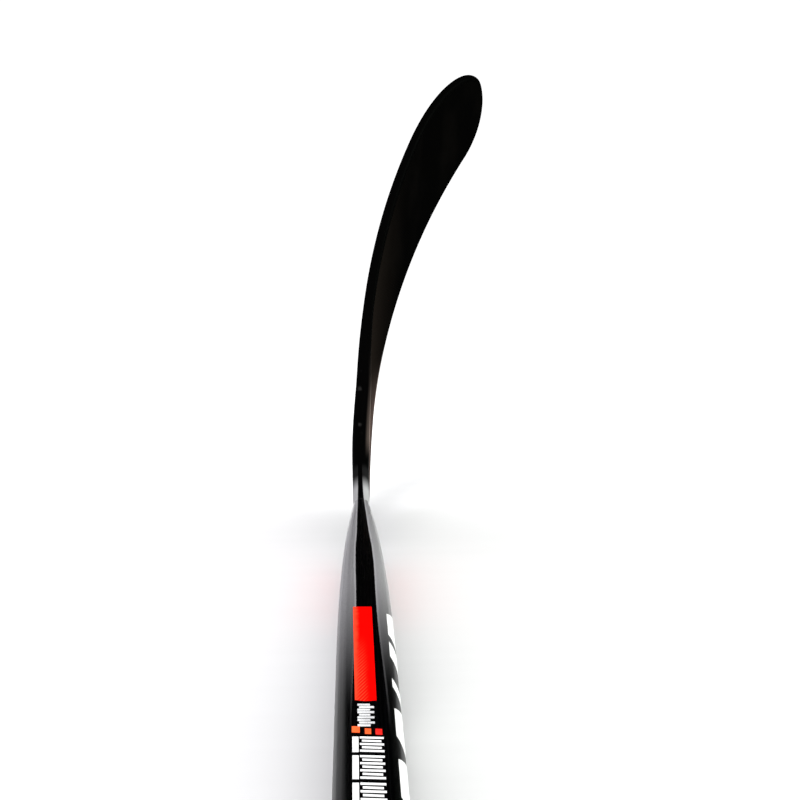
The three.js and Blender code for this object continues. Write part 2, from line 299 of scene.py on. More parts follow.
def bottom_path():
    centre = (HEEL_RADIUS * math.tan(BEND / 2), HEEL_RADIUS)
    parts = turning_path(-ALONG * HEEL, centre, HEEL_RADIUS, BEND)
    toe = (BLADE_LENGTH - TOE_BOTTOM_LENGTH, TOE_MIDDLE)
    parts.append(ellipse(toe, (TOE_BOTTOM_LENGTH, TOE_MIDDLE), -math.pi / 2, 0))
    return np.concatenate(parts)


def top_path():
    edge_end = np.array([BLADE_LENGTH - TOE_TOP_LENGTH, TOE_HEIGHT])
    reach = (BLADE_HEIGHT - NECK_DEPTH * math.cos(BEND)) / math.sin(BEND)
    crotch = FRONT * NECK_DEPTH - ALONG * reach
    edge = (edge_end - crotch) / np.linalg.norm(edge_end - crotch)
    turn = math.acos(ALONG @ edge)
    centre = crotch - ALONG * CROTCH_RADIUS * math.tan(turn / 2) + FRONT * CROTCH_RADIUS
    parts = turning_path(FRONT * NECK_DEPTH - ALONG * HEEL, centre, CROTCH_RADIUS, turn)
    toe = (edge_end[0], TOE_MIDDLE)
    parts.append(ellipse(toe, (TOE_TOP_LENGTH, TOE_HEIGHT - TOE_MIDDLE), math.pi / 2, 0))
    return np.concatenate(parts)


def along_path(path, shares):
    """Points at shares of a path's length."""
    lengths = np.concatenate([[0], np.cumsum(np.linalg.norm(np.diff(path, axis=0), axis=1))])
    return np.stack([np.interp(shares * lengths[-1], lengths, path[:, i]) for i in (0, 1)], 1)


def stations():
    """Shares of the outline's length, closer together at the toe."""
    even = np.linspace(0, 1, STATIONS + 1)
    rest = 1 - CLOSER_FROM
    late = clamp01((even - CLOSER_FROM) / rest)
    return np.where(even < CLOSER_FROM, even, CLOSER_FROM + rest * np.sin(late * math.pi / 2))


def edge_points(side):
    """The outline's points at the stations, and the directions into the blade there."""
    path = top_path() if side == "top" else bottom_path()
    shares = stations()
    step = 0.0015  # to each side of a station, for its tangent
    tangent = along_path(path, clamp01(shares + step)) - along_path(path, clamp01(shares - step))
    tangent /= np.linalg.norm(tangent, axis=1)[:, None]
    inward = np.stack([-tangent[:, 1], tangent[:, 0]], 1)
    if side == "top":
        inward = -inward
    inward[-1] = (-1, 0)
    return along_path(path, shares), inward


def sweep_at(u):
    share = np.maximum(0, (u - SWEEP_START) / (BLADE_LENGTH - SWEEP_START))
    return SWEEP * share**SWEEP_POWER


def loft_at(u):
    share = (u - LOFT_START) / (BLADE_LENGTH - LOFT_START)
    return TOE_LOFT * ((share + np.hypot(share, LOFT_EASE)) / 2) ** LOFT_POWER


def thickness_at(u, w):
    back = -(HEEL + u * math.cos(BEND) - w * math.sin(BEND))
    neck = lerp(SHAFT_WIDTH, NECK_WIDTH, eased_share(back))
    hosel = lerp(neck, HEEL_THICKNESS, smooth((u - SWELL_START) / SWELL_LENGTH))
    blade = lerp(MIDDLE_THICKNESS, TOE_THICKNESS, clamp01(u / BLADE_LENGTH))
    return lerp(hosel, blade, smooth(u / THINNING_LENGTH))


def blade_points(uw, offset):
    """Blade points at (u, w), offset square to the middle surface towards the forehand side."""
    u, w = uw[..., 0], uw[..., 1]
    slope = (sweep_at(u + MM) - sweep_at(u - MM)) / (2 * MM)
    square = 1 / np.sqrt(1 + slope * slope)
    x = sweep_at(u) - w * np.tan(loft_at(u)) + offset * square
    along = u - offset * slope * square
    y = NECK_Y + HEEL + along * math.cos(BEND) - w * math.sin(BEND)
    z = NECK_REAR + along * math.sin(BEND) + w * math.cos(BEND)
    return np.stack([x, y, z], -1)


def half_thickness(uw):
    return thickness_at(uw[..., 0], uw[..., 1]) / 2


# --- Materials ---


class Shader:
    """A new material, with short calls for its nodes."""

    def __init__(self, name, roughness, specular, coat=0.0, coat_roughness=0.1):
        self.material = bpy.data.materials.new(name)
        self.material.use_nodes = True
        self.tree = self.material.node_tree
        self.surface = self.tree.nodes["Principled BSDF"]
        self.surface.inputs["Roughness"].default_value = roughness
        self.surface.inputs["Specular IOR Level"].default_value = specular
        self.surface.inputs["Coat Weight"].default_value = coat
        self.surface.inputs["Coat Roughness"].default_value = coat_roughness
        self.place = self.node("ShaderNodeTexCoord").outputs["Object"]
        split = self.node("ShaderNodeSeparateXYZ", self.place)
        self.x, self.y, self.z = split.outputs

    def node(self, kind, *inputs, **settings):
        node = self.tree.nodes.new(kind)
        for key, value in settings.items():
            setattr(node, key, value)
        for socket, value in zip(node.inputs, inputs):
            self.feed(socket, value)
        return node

    def feed(self, socket, value):
        if isinstance(value, bpy.types.NodeSocket):
            self.tree.links.new(value, socket)
        else:
            socket.default_value = value

    def math(self, operation, *inputs):
        return self.node("ShaderNodeMath", *inputs, operation=operation).outputs[0]

    def add(self, a, b):
        return self.math("ADD", a, b)

    def subtract(self, a, b):
        return self.math("SUBTRACT", a, b)

    def multiply(self, a, b):
        return self.math("MULTIPLY", a, b)

    def between(self, value, low, high, to_low=0.0, to_high=1.0):
        """value's smooth step from low to high, as to_low to to_high."""
        node = self.node("ShaderNodeMapRange", value, low, high, to_low, to_high)
        node.interpolation_type = "SMOOTHSTEP"
        return node.outputs[0]

    def mix(self, share, a, b):
        """The colour a where share is 0, and b where it is 1."""
        node = self.node("ShaderNodeMix", data_type="RGBA")
        factor, colour_a, colour_b = node.inputs[0], node.inputs[6], node.inputs[7]
        self.feed(factor, share)
        self.feed(colour_a, a)
        self.feed(colour_b, b)
        return node.outputs[2]

    def noise(self, scale, detail=3.0, stretch=(1, 1, 1)):
        node = self.node("ShaderNodeTexNoise")
        place = self.place
        if stretch != (1, 1, 1):
            place = self.node("ShaderNodeVectorMath", self.place, stretch, operation="MULTIPLY").outputs[0]
        self.feed(node.inputs["Vector"], place)
        node.inputs["Scale"].default_value = scale
        node.inputs["Detail"].default_value = detail
        return node.outputs["Fac"]

    def cells(self, scale):
        node = self.node("ShaderNodeTexVoronoi")
        self.feed(node.inputs["Vector"], self.place)
        node.inputs["Scale"].default_value = scale
        return node.outputs["Distance"]

    def set(self, name, value):
        self.feed(self.surface.inputs[name], value)

    def bump(self, height, distance, strength):
        node = self.node("ShaderNodeBump")
        self.feed(node.inputs["Height"], height)
        node.inputs["Distance"].default_value = distance
        node.inputs["Strength"].default_value = strength
        self.set("Normal", node.outputs["Normal"])


def grey(level):
    return (level, level, level, 1)


def twill(shader, pitch):
    """A woven height between 0 and 1: tows crossing at 45 degrees to the shaft's line."""
    across = shader.add(shader.x, shader.z)
    turn = 2 * math.pi / pitch
    one = shader.math("SINE", shader.multiply(shader.add(shader.y, across), turn))
    two = shader.math("SINE", shader.multiply(shader.subtract(shader.y, across), turn))
    return shader.between(shader.multiply(one, two), -0.6, 0.6)


def spear_edge(shader):
    """The distance back from the neck, and the distance outside the black spear on the front face."""
    back = shader.subtract(NECK_Y, shader.y)
    first, last = SPEAR[0][0], SPEAR[-1][0]
    widest = SPEAR[-1][1]
    spear = shader.node("ShaderNodeFloatCurve")
    curve = spear.mapping.curves[0]
    for k, (distance, half_width) in enumerate(SPEAR):
        at = ((distance - first) / (last - first), half_width / widest)
        if k < 2:
            curve.points[k].location = at
        else:
            curve.points.new(*at)
    spear.mapping.update()
    along = shader.node("ShaderNodeMapRange", back, first * MM, last * MM, 0.0, 1.0).outputs[0]
    shader.feed(spear.inputs["Value"], along)
    half = shader.multiply(spear.outputs[0], widest * MM)
    ragged = shader.multiply(shader.subtract(shader.noise(900), 0.5), 0.4 * MM)
    centre = shader.between(back, -25 * MM, 120 * MM, -0.3 * MM, 0.55 * MM)
    off_centre = shader.math("ABSOLUTE", shader.subtract(shader.x, centre))
    return back, shader.subtract(shader.add(off_centre, ragged), half)


def silver_and_reflection_share(shader, back, outside):
    """Where the neck's silver shows: outside the spear, fading out along the shaft, sooner on the right
    flank.

    The silver is paint, and partly a painted reflection of the floor in the corners.
    A broken painted highlight line runs on beside the spear, and a dim stretch of the silver starts on the
    hosel.
    """
    side = shader.between(outside, -0.1 * MM, 0.15 * MM)
    skewed = shader.add(back, shader.multiply(shader.x, 1.2))
    fade = shader.between(skewed, 228 * MM, 103 * MM)
    # Painted highlight: a thin broken line of light beside the spear's edge.
    edge = shader.multiply(shader.between(outside, 0.7 * MM, 0.2 * MM), shader.noise(1100))
    line = shader.multiply(edge, shader.between(back, 250 * MM, 190 * MM, 0.0, 0.4))
    dim_start = shader.between(back, -28 * MM, -25 * MM, 0.0, 0.025)
    start = shader.math("MAXIMUM", dim_start, shader.between(back, -23.5 * MM, -13 * MM))
    return shader.multiply(side, shader.multiply(shader.math("MAXIMUM", fade, line), start))


def hosel_silver_and_reflection(shader, under):
    """The silver where it runs on over the hosel, paint and partly painted reflection, and the colour under
    it elsewhere.
    """
    share = silver_and_reflection_share(shader, *spear_edge(shader))
    # Lighter on the right side of the hosel than on the left.
    paint = shader.mix(shader.between(shader.x, -4 * MM, 4 * MM), grey(0.21), grey(0.36))
    return shader.mix(share, under, paint)


def painted_warm_sheen(shader, weight, tint):
    """A warm sheen that shows at shallow angles only: a painted warm reflection."""
    shader.set("Sheen Weight", weight)
    shader.set("Sheen Roughness", 0.3)
    shader.set("Sheen Tint", tint)


def shaft_material():
    """Twill under clear coat: black, matt on the spear, and silver towards the neck.

    The silver is partly a painted reflection and is lighter on the right flank; a painted highlight runs
    beside the spear.
    """
    shader = Shader("shaft_paint", 0.42, specular=0.5, coat=0.25, coat_roughness=0.2)
    back, outside = spear_edge(shader)
    weave = twill(shader, SHAFT_TOW)
    streaks = shader.noise(60, 4, (1, 0.06, 1))
    flakes = shader.multiply(shader.subtract(shader.noise(1500), 0.5), 0.8)
    black = shader.mix(weave, (0.0002, 0.0002, 0.0003, 1), (0.0015, 0.0015, 0.0018, 1))
    # Painted reflection: the x term makes the silver lighter on the right flank.
    tone = shader.add(shader.add(streaks, flakes), shader.multiply(shader.x, 45))
    silver = shader.mix(tone, (0.12, 0.118, 0.123, 1), (0.27, 0.266, 0.273, 1))
    # Painted highlight: a lighter line in the silver along the spear's edge.
    highlight_beside_spear = shader.between(outside, 0.8 * MM, 0.3 * MM, 0.0, 0.3)
    silver_with_highlight = shader.mix(highlight_beside_spear, silver, (0.5, 0.495, 0.505, 1))
    shader.set("Base Color", shader.mix(silver_and_reflection_share(shader, back, outside), black, silver_with_highlight))
    shader.set("Specular IOR Level", shader.between(outside, -0.4 * MM, 0.6 * MM, 0.12, 0.5))
    shader.set("Coat Weight", shader.between(outside, -0.4 * MM, 0.6 * MM, 0.04, 0.25))
    flank = shader.between(shader.math("ABSOLUTE", shader.x), 4.5 * MM, 8 * MM, 0.2, 0.48)
    shader.set("Roughness", shader.add(flank, shader.multiply(streaks, 0.12)))
    fine = shader.multiply(shader.noise(2600, 2), 0.35)
    shader.bump(shader.add(weave, fine), 0.03 * MM, 0.5)
    return shader.material


def blade_material():
    """Matt twill, rougher towards the heel, with a painted warm reflection towards the heel and a painted
    warm sheen low down.
    """
    shader = Shader("blade_skin", 0.42, specular=0)
    weave = twill(shader, BLADE_TOW)
    cloud = shader.noise(28, 5)
    black = shader.mix(weave, (0.0003, 0.0003, 0.0003, 1), (0.0012, 0.0012, 0.0011, 1))
    clouded = shader.mix(shader.between(cloud, 0.4, 0.75), black, (0.0018, 0.0016, 0.0014, 1))
    heel = shader.between(shader.y, NECK_Y + 190 * MM, NECK_Y + 60 * MM)
    # Painted reflection: a warm tone towards the heel.
    warm_reflection = shader.mix(heel, clouded, (0.0088, 0.0068, 0.0054, 1))
    # Painted reflection: a warm sheen low down on the blade.
    low = shader.between(shader.z, 86 * MM, 46 * MM)
    painted_sheen_weight = shader.multiply(shader.multiply(low, low), shader.between(cloud, 0.2, 0.8, 0.09, 0.16))
    painted_warm_sheen(shader, painted_sheen_weight, (1, 0.72, 0.62, 1))
    shader.set("Base Color", hosel_silver_and_reflection(shader, warm_reflection))
    clouded_roughness = shader.between(cloud, 0.3, 0.8, 0.34, 0.48)
    shader.set("Roughness", shader.add(clouded_roughness, shader.multiply(heel, 0.18)))
    fine = shader.multiply(shader.noise(2200, 3), 0.5)
    shader.bump(shader.add(weave, fine), 0.025 * MM, 0.4)
    return shader.material


def rail_material():
    """Black resin, with painted glints along its crown and a painted warm reflection on the corner beside
    the forehand face.
    """
    shader = Shader("blade_rail", 0.48, specular=0.015)
    heel = shader.between(shader.z, 100 * MM, 46 * MM)
    # Painted glints: light specks along the crown, low down.
    off_crown = shader.math("ABSOLUTE", shader.subtract(shader.x, 0.4 * MM))
    crown = shader.between(off_crown, 1.6 * MM, 0.3 * MM)
    spots = shader.between(shader.noise(170, 1), 0.62, 0.78)
    crown_glint = shader.multiply(shader.multiply(spots, crown), heel)
    grain = shader.noise(1500, 3)
    black = shader.mix(grain, (0.0003, 0.0003, 0.0003, 1), (0.0013, 0.0012, 0.0011, 1))
    glinted_black = shader.mix(crown_glint, black, (0.024, 0.023, 0.022, 1))
    # Painted reflection: a warm tone and sheen on the corner facing the forehand side, low down.
    normal = shader.node("ShaderNodeNewGeometry").outputs["Normal"]
    facing = shader.between(shader.node("ShaderNodeSeparateXYZ", normal).outputs[0], 0.15, 0.75)
    forehand = shader.multiply(facing, shader.between(shader.z, 41 * MM, 51 * MM))
    warm_reflection = shader.multiply(forehand, shader.multiply(heel, heel))
    painted_warm_sheen(shader, shader.multiply(warm_reflection, 0.8), (1, 0.76, 0.65, 1))
    shader.set("Base Color", hosel_silver_and_reflection(shader, shader.mix(warm_reflection, glinted_black, (0.05, 0.038, 0.032, 1))))
    shader.set("Roughness", shader.between(grain, 0.3, 0.7, 0.38, 0.56))
    shader.bump(shader.add(grain, crown_glint), 0.03 * MM, 0.5)
    return shader.material


def bore_material():
    """Bare laminate with lines along the shaft."""
    shader = Shader("raw_laminate", 0.6, specular=0.3)
    lines = shader.noise(1400, 2, (1, 0.04, 1))
    shader.set("Base Color", shader.mix(lines, grey(0.01), grey(0.05)))
    shader.set("Roughness", shader.between(lines, 0.2, 0.8, 0.5, 0.75))
    shader.bump(lines, 0.05 * MM, 0.6)
    return shader.material


def plug_material():
    """Fine-grained rubber, a little dusty."""
    shader = Shader("plug_rubber", 0.75, specular=0.3)
    grain = shader.noise(2400, 4)
    dust = shader.noise(160, 5)
    shader.set("Base Color", shader.mix(dust, (0.009, 0.009, 0.01, 1), (0.03, 0.029, 0.028, 1)))
    shader.set("Roughness", shader.between(grain, 0.2, 0.8, 0.62, 0.86))
    shader.bump(grain, 0.05 * MM, 0.6)
    return shader.material


def print_material(name, low, high, roughness=0.3):
    """Printed ink under the clear coat, with a fine screen and slight clouding."""
    shader = Shader(name, roughness, specular=0.25, coat=0.15, coat_roughness=0.12)
    screen = shader.cells(4200)
    cloud = shader.noise(140, 4)
    tone = shader.add(shader.multiply(screen, 0.4), shader.multiply(cloud, 0.7))
    shader.set("Base Color", shader.mix(shader.between(tone, 0.25, 0.8), low, high))
    shader.set("Roughness", shader.between(cloud, 0.2, 0.8, roughness - 0.05, roughness + 0.1))
    shader.bump(screen, 0.008 * MM, 0.4)
    return shader.material


def flash_material():
    """The red block: pure red, with an orange band along its left edge that breaks into a hatch."""
    shader = Shader("flash_ink", 0.34, specular=0)
    back = shader.subtract(NECK_Y, shader.y)
    ragged = shader.multiply(shader.subtract(shader.noise(420, 4), 0.5), 1.6 * MM)
    edge = shader.subtract(shader.x, ragged)
    band = shader.between(edge, -1.9 * MM, -3.9 * MM)
    slant = shader.subtract(shader.y, shader.multiply(shader.x, 2.1))
    lines = shader.math("SINE", shader.multiply(slant, 2 * math.pi / (2.4 * MM)))
    low_part = shader.between(back, 172 * MM, 205 * MM)
    left_part = shader.between(edge, 0.8 * MM, -1.8 * MM)
    hatched = shader.multiply(low_part, left_part)
    hatch = shader.multiply(shader.between(lines, -0.3, 0.9), hatched)
    orange_share = shader.multiply(shader.math("MAXIMUM", band, hatch), 0.95)
    red = shader.mix(shader.noise(600, 3), (0.8, 0.0008, 0.0005, 1), (0.9, 0.0016, 0.0008, 1))
    shader.set("Base Color", shader.mix(orange_share, red, (0.86, 0.05, 0.02, 1)))
    shader.bump(shader.noise(3000, 2), 0.008 * MM, 0.4)
    return shader.material


def foam_material():
    """Closed-cell foam."""
    shader = Shader("core_foam", 0.9, specular=0.2)
    cells = shader.cells(1500)
    shader.set("Base Color", shader.mix(cells, (0.5, 0.45, 0.3, 1), (0.72, 0.66, 0.46, 1)))
    shader.bump(cells, 0.2 * MM, 0.7)
    return shader.material


def adhesive_material():
    """Clouded amber epoxy."""
    shader = Shader("cured_adhesive", 0.35, specular=0.5)
    cloud = shader.noise(300, 4)
    shader.set("Base Color", shader.mix(cloud, (0.4, 0.27, 0.1, 1), (0.6, 0.45, 0.2, 1)))
    shader.bump(cloud, 0.1 * MM, 0.4)
    return shader.material


# --- Pieces ---


def shaft_shell(paint, bore):
    """The tube: painted outside, raw laminate inside, with a softened rim at the butt."""
    rim = 0.35 * MM
    straight = [TUBE_LENGTH - rim, 410 * MM, 300 * MM]  # the last two part the long straight run
    taper = [TAPER_LENGTH * k / TAPER_STEPS for k in range(TAPER_STEPS, -1, -1)]
    backs = straight + taper
    rings = [section_ring(BUTT_Y, outer_section(TUBE_LENGTH), rim)]
    rings += [section_ring(NECK_Y - back, outer_section(back)) for back in backs]
    painted = len(rings)
    flare = [SOCKET_LENGTH + SOCKET_FLARE * k / FLARE_STEPS for k in range(FLARE_STEPS + 1)]
    rings += [section_ring(NECK_Y - back, bore_section(back)) for back in (0, *flare, TUBE_LENGTH)]
    size = len(rings[0])
    faces = ring_faces(len(rings), size)
    last = (len(rings) - 1) * size
    faces += [(last + k, last + (k + 1) % size, (k + 1) % size, k) for k in range(size)]
    inside = [int(i >= (painted - 1) * size) for i in range(len(faces))]
    points = np.concatenate(rings)
    make_piece("shaft_shell", points, faces, [paint, bore], "stick", inside, ["shaft_tube"])


def rail_ring(point, inward):
    """The rail's section at one point of the outline."""
    corner = lerp(NECK_CORNER, EDGE_RADIUS, smooth(point[0] / ROUNDING_CHANGE))
    angles = np.linspace(0, math.pi / 2, CORNER_STEPS + 1)
    depths = [RAIL_DEPTH, *(corner - corner * np.sin(angles))]
    drops = [0, *(corner - corner * np.cos(angles))]
    section = list(zip(depths, drops, [1] * len(depths)))
    section += [(depth, drop, -1) for depth, drop, _ in reversed(section)]
    spots = np.array([point + inward * depth for depth, _, _ in section])
    offsets = [side * (half_thickness(spot) - drop) for spot, (_, drop, side) in zip(spots, section)]
    return blade_points(spots, np.array(offsets))


def blade_rail(material):
    top, top_in = edge_points("top")
    bottom, bottom_in = edge_points("bottom")
    rings = [rail_ring(p, d) for p, d in zip(top, top_in)]
    rings += [rail_ring(p, d) for p, d in zip(bottom[-2::-1], bottom_in[-2::-1])]
    points, faces = loft(rings)
    make_piece("blade_rail", points, faces, [material], "stick", replaces=["edge_rail"])


def blade_faces(material):
    """The two skins, each one sheet inside the rail."""
    top, top_in = edge_points("top")
    bottom, bottom_in = edge_points("bottom")
    heights = np.linspace(0, 1, PANEL_STEPS + 1)[None, :, None]
    low = (bottom + bottom_in * RAIL_DEPTH)[:, None, :]
    high = (top + top_in * RAIL_DEPTH)[:, None, :]
    grid = low + (high - low) * heights
    half = half_thickness(grid)
    for name, side, node in (("forehand_face", 1, "forehand_skin"), ("backhand_face", -1, "backhand_skin")):
        outer = blade_points(grid, side * half)
        inner = blade_points(grid, side * (half - SKIN))
        points, faces = slab(outer, inner)
        make_piece(name, points, faces, [material], "stick", replaces=[node])


def butt_plug(material):
    """The moulded plug: a bevelled cap with a grooved face, and a ribbed stem inside the tube."""
    cap_end, stem_end = plug_low.y, plug_high.y
    inner_edge = BUTT_Y - GAP
    cap = (SHAFT_WIDTH, SHAFT_DEPTH, SHAFT_CORNER, SHAFT_DEPTH / 2)
    bore_width, bore_depth, bore_corner, middle = bore_section(TUBE_LENGTH)
    rib = (bore_width - 2 * GAP, bore_depth - 2 * GAP, bore_corner - GAP, middle)
    stem = (12.6 * MM, 22.6 * MM, 1.4 * MM, middle)
    bevel, rim = 0.9 * MM, 0.3 * MM
    groove_depth, groove_slope = 0.5 * MM, 0.2 * MM
    groove_in, groove_out = 3.4 * MM, 2.7 * MM
    ribs, rib_length, soft = 4, 4 * MM, 0.4 * MM
    stem_bevel = 0.8 * MM
    rings = [
        section_ring(cap_end, cap, groove_in + groove_slope),
        section_ring(cap_end + groove_depth, cap, groove_in),
        section_ring(cap_end + groove_depth, cap, groove_out),
        section_ring(cap_end, cap, groove_out - groove_slope),
    ]
    for k in range(BEVEL_STEPS + 1):
        angle = math.radians(90 * k / BEVEL_STEPS)
        inset = bevel * (1 - math.sin(angle))
        rings.append(section_ring(cap_end + bevel * (1 - math.cos(angle)), cap, inset))
    rings += [section_ring(inner_edge - rim, cap), section_ring(inner_edge, cap, rim)]
    rings.append(section_ring(inner_edge, stem))
    pitch = (stem_end - inner_edge) / ribs
    for k in range(ribs):
        start = inner_edge + (k + 0.5) * pitch
        end = start + rib_length
        rings += [section_ring(start, stem), section_ring(start, rib, soft)]
        rings += [section_ring(start + soft, rib), section_ring(end - soft, rib)]
        rings += [section_ring(end, rib, soft), section_ring(end, stem)]
    rings += [section_ring(stem_end - stem_bevel, stem), section_ring(stem_end, stem, stem_bevel)]
    points, faces = loft(rings)
    make_piece("butt_plug", points, faces, [material], "plug", replaces=["end_plug"])


# --- Prints ---

# Marks in millimetres: across the front face, or back from the neck.
FLASH = ((-4.25, 147.5), (2.45, 147.9), (2.6, 224.6), (-0.6, 224.9), (-3.8, 224))
SMALL_START, SMALL_RUNGS, SMALL_PITCH, SMALL_RUNG = 226.6, 9, 1.65, 1.2
SMALL_LEFT, SMALL_RIGHT = (-3.1, -2.6, -3.1), (0.6, 1.8)  # taken in turn
TIPS = ((-4.75, -2.5, 240.9, 244.6), (-1.1, 0.7, 242.4, 245.6), (1.9, 3.8, 242.8, 246.2))
LADDER_START, LADDER_PITCH, LADDER_RUNG = 247.2, 1.9, 1.05
LADDER_RUNGS = (5, 7, 5, 8, 5, 6, 4)  # in each white ladder
LADDER_GAP, STILE_GAP = 1.2, 1.9  # after a ladder's last pitch, and after its stile
STILE = (-4.6, -2.9)
WIDE_RUNG, NARROW_RUNG = (-2.55, 4.1), (-1.95, 3.4)
SMALL_SLANT, TIP_SLANT, STILE_SLANT, RUNG_SLANT = 0.25, 0.3, 0.1, 0.75

# Slashes on the wide faces: start, end, and how far each end leans over the corner.
SLASHES = (
    (153.6, 172.5, (-0.9, 1.9)),
    (178.7, 191, (1.8, 2.2)),
    (208, 214, (1.9, 2.2)),
    (229, 246, (-0.3, 2)),
    (259.5, 279, (-0.3, 1.9)),
    (287, 300, (1.8, 2.1)),
    (308, 314, (1.9, 2.1)),
)
LEFT_SLASHES = SLASHES[3:]
ACCENTS = ((2, 34), (41, 58), (65, 72))
RIGHT_TOP, LEFT_TOP = 0.33, 1.06  # levels, as side_point has them
ACCENT_TOP, SLASH_BOTTOM = 1.2, 1.9
CORNER_LEVELS = 7
FACE_LEVELS = 5


def front_patch(corners):
    """A thin printed patch on the front face. corners are (x, back) in millimetres, in order."""
    base = SHAFT_DEPTH + LIFT
    low = [(x * MM, NECK_Y - back * MM, base) for x, back in corners]
    high = [(x, y, z + PRINT) for x, y, z in low]
    return loft([np.array(low), np.array(high)])


def join_patches(patches):
    points, faces, start = [], [], 0
    for patch_points, patch_faces in patches:
        points.append(patch_points)
        faces += [tuple(start + i for i in face) for face in patch_faces]
        start += len(patch_points)
    return np.concatenate(points), faces


def slanted_bar(left, right, start, end, slant):
    """A bar across the front face whose right end lies further back by slant."""
    return [(left, start), (right, start + slant), (right, end + slant), (left, end)]


def flash_print(material):
    points, faces = front_patch(FLASH)
    make_piece("flash_print", points, faces, [material], "stick", replaces=["front_flash_film"])


def small_ladder():
    """Short rungs of uneven length."""
    bars = []
    for k in range(SMALL_RUNGS):
        start = SMALL_START + SMALL_PITCH * k
        left, right = SMALL_LEFT[k % 3], SMALL_RIGHT[k % 2]
        bars.append(slanted_bar(left, right, start, start + SMALL_RUNG, SMALL_SLANT))
    return bars


def ladders():
    """A row of ladders, each a stile with rungs beside it."""
    bars = []
    start = LADDER_START
    for rungs in LADDER_RUNGS:
        following = start + LADDER_PITCH * rungs + LADDER_GAP
        bars.append(slanted_bar(*STILE, start, following - STILE_GAP, STILE_SLANT))
        for k in range(rungs):
            left, right = WIDE_RUNG if k % 2 == 0 else NARROW_RUNG
            first = start + LADDER_PITCH * k
            bars.append(slanted_bar(left, right, first, first + LADDER_RUNG, RUNG_SLANT))
        start = following
    return bars


def ladder_prints(white, tint, orange, red):
    """Generic marks on the front face: a small tinted ladder, three tips, and white ladders."""
    tips = [slanted_bar(left, right, start, end, TIP_SLANT) for left, right, start, end in TIPS]
    sets = (
        ("ladder_small", small_ladder(), tint, "white_film", ()),
        ("ladder_tips", tips[:2], orange, "red_film", ()),
        ("ladder_red_tip", tips[2:], red, "red_film", ()),
        ("ladder_bars", ladders(), white, "white_film", ["front_bar_film"]),
    )
    for name, outlines, material, slot, nodes in sets:
        points, faces = join_patches([front_patch(outline) for outline in outlines])
        make_piece(name, points, faces, [material], "stick", replaces=nodes)


def side_point(side, back, level, lift):
    """A point over a front corner (level 0 to 1) or down a wide face (1 to 2). side is 1 for +X."""
    width, depth, corner, middle = outer_section(back)
    angle = min(level, 1) * math.pi / 2
    reach = corner + lift
    x = width / 2 - corner + reach * math.sin(angle)
    z = middle + depth / 2 - corner + reach * math.cos(angle)
    z -= max(level - 1, 0) * (depth - 2 * corner)
    return side * x, NECK_Y - back, z


def side_slash(side, start, end, top, leans=(SLASH_LEAN, SLASH_LEAN)):
    """A slash from start to end, down from level top to SLASH_BOTTOM.

    Its two ends lean by leans over the corner, and by SLASH_LEAN down the wide face.
    """
    if top < 1:
        levels = [*np.linspace(top, 1, CORNER_LEVELS), *np.linspace(1, SLASH_BOTTOM, FACE_LEVELS)[1:]]
    else:
        levels = np.linspace(top, SLASH_BOTTOM, FACE_LEVELS)
    rings = []
    for level in levels:
        over = (min(level, 1) - min(top, 1)) * math.pi / 2 * SHAFT_CORNER
        down = (max(level, 1) - max(top, 1)) * (SHAFT_DEPTH - 2 * SHAFT_CORNER)
        ends = [place * MM + lean * over + SLASH_LEAN * down for place, lean in zip((start, end), leans)]
        outer = [side_point(side, back, level, LIFT + PRINT) for back in ends]
        inner = [side_point(side, back, level, LIFT) for back in reversed(ends)]
        rings.append(np.array(outer + inner))
    return loft(rings)


def side_prints(white, red):
    """Leaning slashes on both wide faces. Those at the right wrap over the corner."""
    for side, name, top, shown in ((1, "right", RIGHT_TOP, SLASHES), (-1, "left", LEFT_TOP, LEFT_SLASHES)):
        marks = [side_slash(side, start, end, top, leans) for start, end, leans in shown]
        points, faces = join_patches(marks)
        node = f"{name}_mark_film"
        make_piece(f"{name}_marks", points, faces, [white], "stick", replaces=[node])
        accents = [side_slash(side, start, end, ACCENT_TOP) for start, end in ACCENTS]
        points, faces = join_patches(accents)
        make_piece(f"{name}_accents", points, faces, [red], "stick")


# --- Stage ---


def floor_material():
    """Matt white with a slight gloss, fading to clear at the sheet's edges."""
    shader = Shader("floor_white", 0.6, specular=0)
    streaks = shader.noise(120, 3, (0.04, 1, 1))
    shader.set("Base Color", shader.mix(streaks, grey(0.865), grey(0.9)))
    inside = shader.subtract(FLOOR_HIGH[0], shader.math("ABSOLUTE", shader.x))
    inside = shader.math("MINIMUM", inside, shader.subtract(FLOOR_HIGH[1], shader.y))
    inside = shader.math("MINIMUM", inside, shader.subtract(shader.y, FLOOR_LOW[1]))
    gloss_share, gloss_roughness = 0.28, 0.22
    gloss = shader.node("ShaderNodeBsdfAnisotropic", grey(1), gloss_roughness)
    sheet = shader.node("ShaderNodeMixShader", gloss_share, shader.surface.outputs[0], gloss.outputs[0])
    clear = shader.node("ShaderNodeBsdfTransparent")
    share = shader.between(inside, 0.0, FLOOR_FADE)
    faded = shader.node("ShaderNodeMixShader", share, clear.outputs[0], sheet.outputs[0])
    shader.feed(shader.tree.nodes["Material Output"].inputs["Surface"], faded.outputs[0])
    return shader.material


def build_stage():
    """A white sheet on the floor, which fades into the white surround at its edges."""
    (left, front), (right, back) = FLOOR_LOW, FLOOR_HIGH
    mesh = bpy.data.meshes.new("floor")
    corners = [(left, front, 0), (right, front, 0), (right, back, 0), (left, back, 0)]
    mesh.from_pydata(corners, [], [(0, 1, 2, 3)])
    floor = bpy.data.objects.new("floor", mesh)
    floor.location.z = -FLOOR_DROP
    bpy.context.scene.collection.objects.link(floor)
    mesh.materials.append(floor_material())


